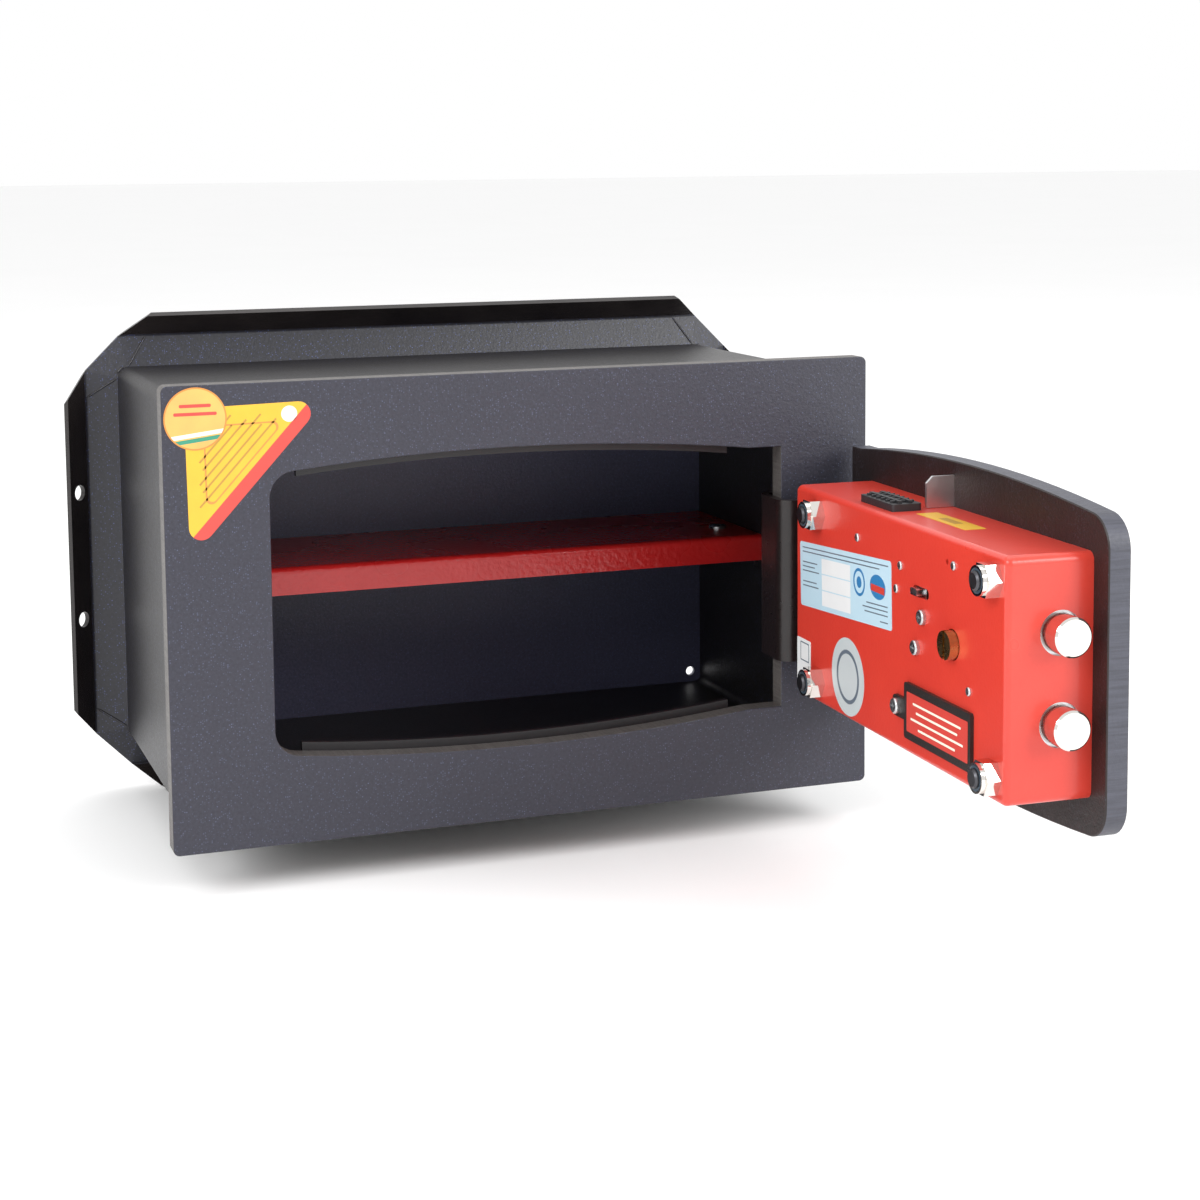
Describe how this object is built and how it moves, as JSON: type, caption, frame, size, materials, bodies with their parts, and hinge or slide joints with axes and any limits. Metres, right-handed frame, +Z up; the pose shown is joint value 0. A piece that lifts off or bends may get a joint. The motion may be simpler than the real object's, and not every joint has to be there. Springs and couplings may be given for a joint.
{
  "type": "wall safe",
  "caption": "Box safe set in a wall behind a thick front plate, with a bowed hinged door, red lock cover, sliding bolts, knob and keypad, red shelf and flared anchor flange.",
  "frame": {"origin": "centre of the front plate's back face, on the wall surface", "axes": "+Y into the wall, +Z up, +X to the right seen from the room"},
  "size_m": [0.3796, 0.4473, 0.2496],
  "materials": {
    "powder_coat_dark": "fine textured powder coat",
    "powder_coat_grey": "satin powder coat",
    "flange_steel": "blue-black paint",
    "door_steel": "dark paint with sawn edges",
    "arm_steel": "dark brown paint",
    "red_paint": "gloss red powder coat",
    "bright_steel": "bright nickel plate",
    "zinc_steel": "zinc plate",
    "brass": "turned brass",
    "grey_nylon": "moulded nylon",
    "black_plastic": "fine moulded texture",
    "key_plastic": "soft touch keys",
    "battery_wrap": "printed wrap without lettering",
    "board_green": "solder mask",
    "status_lens": "tinted lens"
  },
  "bodies": {
    "safe_body": {"front_plate": "powder_coat_dark", "body_shell": "powder_coat_grey", "back_plate": "powder_coat_grey", "flange_top": "flange_steel", "flange_bottom": "flange_steel", "flange_left": "flange_steel", "flange_right": "flange_steel", "flange_corners": "powder_coat_grey", "door_stops": "powder_coat_grey", "shelf": "red_paint", "shelf_brackets": "powder_coat_grey", "shelf_screws": "zinc_steel", "hinge_brackets": "powder_coat_grey", "hinge_pin": "bright_steel", "hinge_washers": "zinc_steel"},
    "door": {"door_plate": "door_steel", "hinge_arm": "arm_steel", "hinge_arm_screws": "zinc_steel", "lock_cover": "red_paint", "cover_studs": "bright_steel", "cover_nuts": "bright_steel", "nut_inserts": "grey_nylon", "cover_screws": "zinc_steel", "cover_rivets": "zinc_steel", "bolt_guide": "zinc_steel", "solenoid_body": "zinc_steel", "battery_door": "red_paint", "battery_door_screw": "zinc_steel", "battery_tray": "black_plastic", "battery": "battery_wrap", "circuit_board": "board_green", "board_spacers": "zinc_steel", "cable_connector": "black_plastic", "cover_tab": "zinc_steel", "keypad_housing": "black_plastic", "status_lens": "status_lens", "override_lock": "zinc_steel", "knob_ring": "bright_steel"},
    "bolts": {"locking_bolts": "bright_steel", "bolt_carrier": "zinc_steel", "bolt_screws": "zinc_steel"},
    "knob": {"knob": "black_plastic", "spindle": "brass", "pinion": "zinc_steel"},
    "solenoid_plunger": {"solenoid_plunger": "zinc_steel"},
    "reset_lever": {"reset_lever": "zinc_steel"},
    "lock_plug": {"lock_plug": "brass"},
    "key_01": {"key_01": "key_plastic"},
    "key_02": {"key_02": "key_plastic"},
    "key_03": {"key_03": "key_plastic"},
    "key_04": {"key_04": "key_plastic"},
    "key_05": {"key_05": "key_plastic"},
    "key_06": {"key_06": "key_plastic"},
    "key_07": {"key_07": "key_plastic"},
    "key_08": {"key_08": "key_plastic"},
    "key_09": {"key_09": "key_plastic"},
    "key_10": {"key_10": "key_plastic"},
    "key_11": {"key_11": "key_plastic"},
    "key_12": {"key_12": "key_plastic"}
  },
  "joints": [
    {"name": "door_hinge", "type": "hinge", "parent": "safe_body", "child": "door", "pos_m": [0.1477, 0.0114, 0], "axis": [0, 0, 1], "range_deg": [-88, 2]},
    {"name": "knob_turn", "type": "hinge", "parent": "door", "child": "knob", "pos_m": [0.17165, -0.20247, 0.006], "axis": [-0.9994, 0.0349, 0], "range_deg": [0, 89.8]},
    {"name": "bolt_slide", "type": "slide", "parent": "door", "child": "bolts", "axis": [-0.0349, -0.9994, 0], "range_m": [0, 0.0188]},
    {"name": "latch_slide", "type": "slide", "parent": "door", "child": "solenoid_plunger", "axis": [0, 0, -1], "range_m": [0, 0.004], "stiffness_N_per_m": 60},
    {"name": "reset_slide", "type": "slide", "parent": "door", "child": "reset_lever", "axis": [-0.0349, -0.9994, 0], "range_m": [0, 0.0065]},
    {"name": "override_turn", "type": "hinge", "parent": "door", "child": "lock_plug", "pos_m": [0.16711, -0.04601, 0.004], "axis": [-0.9994, 0.0349, 0], "range_deg": [0, 90]},
    {"name": "press_key_01", "type": "slide", "parent": "door", "child": "key_01", "axis": [-0.9994, 0.0349, 0], "range_m": [0, 0.0015], "stiffness_N_per_m": 400},
    {"name": "press_key_02", "type": "slide", "parent": "door", "child": "key_02", "axis": [-0.9994, 0.0349, 0], "range_m": [0, 0.0015], "stiffness_N_per_m": 400},
    {"name": "press_key_03", "type": "slide", "parent": "door", "child": "key_03", "axis": [-0.9994, 0.0349, 0], "range_m": [0, 0.0015], "stiffness_N_per_m": 400},
    {"name": "press_key_04", "type": "slide", "parent": "door", "child": "key_04", "axis": [-0.9994, 0.0349, 0], "range_m": [0, 0.0015], "stiffness_N_per_m": 400},
    {"name": "press_key_05", "type": "slide", "parent": "door", "child": "key_05", "axis": [-0.9994, 0.0349, 0], "range_m": [0, 0.0015], "stiffness_N_per_m": 400},
    {"name": "press_key_06", "type": "slide", "parent": "door", "child": "key_06", "axis": [-0.9994, 0.0349, 0], "range_m": [0, 0.0015], "stiffness_N_per_m": 400},
    {"name": "press_key_07", "type": "slide", "parent": "door", "child": "key_07", "axis": [-0.9994, 0.0349, 0], "range_m": [0, 0.0015], "stiffness_N_per_m": 400},
    {"name": "press_key_08", "type": "slide", "parent": "door", "child": "key_08", "axis": [-0.9994, 0.0349, 0], "range_m": [0, 0.0015], "stiffness_N_per_m": 400},
    {"name": "press_key_09", "type": "slide", "parent": "door", "child": "key_09", "axis": [-0.9994, 0.0349, 0], "range_m": [0, 0.0015], "stiffness_N_per_m": 400},
    {"name": "press_key_10", "type": "slide", "parent": "door", "child": "key_10", "axis": [-0.9994, 0.0349, 0], "range_m": [0, 0.0015], "stiffness_N_per_m": 400},
    {"name": "press_key_11", "type": "slide", "parent": "door", "child": "key_11", "axis": [-0.9994, 0.0349, 0], "range_m": [0, 0.0015], "stiffness_N_per_m": 400},
    {"name": "press_key_12", "type": "slide", "parent": "door", "child": "key_12", "axis": [-0.9994, 0.0349, 0], "range_m": [0, 0.0015], "stiffness_N_per_m": 400}
  ],
  "couplings": [
    {"joint": "knob_turn", "follows": "bolt_slide", "rad_per_m": 83.333}
  ]
}
